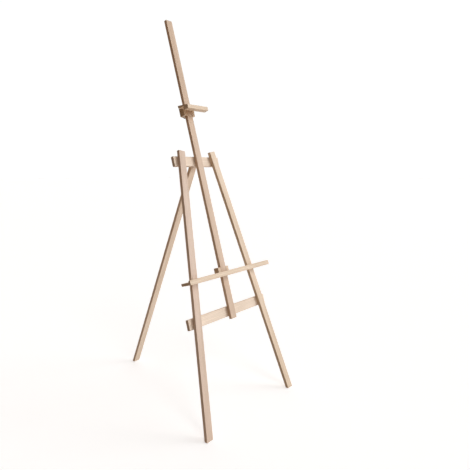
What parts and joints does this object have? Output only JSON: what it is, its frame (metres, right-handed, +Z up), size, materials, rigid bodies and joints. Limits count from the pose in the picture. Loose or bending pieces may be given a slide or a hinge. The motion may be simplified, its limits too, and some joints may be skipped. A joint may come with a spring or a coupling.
{
  "type": "wooden artist easel",
  "caption": "Leaning A-frame wooden easel: two splayed front legs, centre mast, sliding canvas shelf and top clamp, hinged folding rear leg.",
  "frame": {"origin": "on the floor, at the middle of the footprint of the three feet", "axes": "+Z up; the canvas side faces -Y and the rear leg stands towards +Y; X runs along the crossbars"},
  "size_m": [0.6202, 0.852, 1.7504],
  "materials": {
    "beech": "fine-sanded beech under a thin satin lacquer",
    "beech_pale": "paler beech board, fine-sanded under a thin satin lacquer",
    "beech_rose": "slightly pinker steamed beech, fine-sanded under a thin satin lacquer",
    "zinc": "bright zinc-plated steel",
    "pin_steel": "drawn steel wire, plain",
    "brass": "turned brass",
    "plastic": "black moulded nylon, fine matt texture"
  },
  "bodies": {
    "front_frame": {"front_leg_left": "beech_rose", "front_leg_right": "beech", "mast": "beech", "lower_crossbar": "beech_pale", "upper_crossbar": "beech_pale", "hinge_leaf_crossbar": "zinc", "hinge_pin": "pin_steel", "hinge_crossbar_screw_left": "zinc", "hinge_crossbar_screw_right": "zinc", "lower_crossbar_left_screw_low": "zinc", "lower_crossbar_left_screw_high": "zinc", "lower_crossbar_mast_screw_low": "zinc", "lower_crossbar_mast_screw_high": "zinc", "lower_crossbar_right_screw_low": "zinc", "lower_crossbar_right_screw_high": "zinc", "upper_crossbar_left_screw_low": "zinc", "upper_crossbar_left_screw_high": "zinc", "upper_crossbar_mast_screw_low": "zinc", "upper_crossbar_mast_screw_high": "zinc", "upper_crossbar_right_screw_low": "zinc", "upper_crossbar_right_screw_high": "zinc"},
    "rear_leg_unit": {"rear_leg": "beech", "hinge_leaf_rear_leg": "zinc", "hinge_rear_leg_screw_left": "zinc", "hinge_rear_leg_screw_right": "zinc"},
    "shelf_unit": {"canvas_shelf": "beech", "shelf_collar": "beech", "shelf_collar_screw_left": "zinc", "shelf_collar_screw_right": "zinc", "shelf_threaded_insert": "brass"},
    "shelf_knob_unit": {"shelf_knob": "plastic", "shelf_knob_stud": "zinc"},
    "clamp_unit": {"canvas_clamp_jaw": "beech_pale", "clamp_collar": "beech", "clamp_collar_screw_left": "zinc", "clamp_collar_screw_right": "zinc", "clamp_threaded_insert": "brass"},
    "clamp_knob_unit": {"clamp_knob": "plastic", "clamp_knob_stud": "zinc"}
  },
  "joints": [
    {"name": "rear_leg_fold", "type": "hinge", "parent": "front_frame", "child": "rear_leg_unit", "pos_m": [0, -0.07243, 1.09113], "axis": [-1, 0, 0], "range_deg": [0, 37]},
    {"name": "shelf_height", "type": "slide", "parent": "front_frame", "child": "shelf_unit", "axis": [0, 0.2807, 0.9598], "range_m": [-0.13, 0.28]},
    {"name": "shelf_knob_turn", "type": "hinge", "parent": "shelf_unit", "child": "shelf_knob_unit", "pos_m": [0, -0.21875, 0.61141], "axis": [0, 0.9598, -0.2807], "range_deg": [0, 360]},
    {"name": "clamp_height", "type": "slide", "parent": "front_frame", "child": "clamp_unit", "axis": [0, 0.2807, 0.9598], "range_m": [-0.15, 0.4]},
    {"name": "clamp_knob_turn", "type": "hinge", "parent": "clamp_unit", "child": "clamp_knob_unit", "pos_m": [0, -0.01176, 1.31927], "axis": [0, 0.9598, -0.2807], "range_deg": [0, 360]}
  ]
}
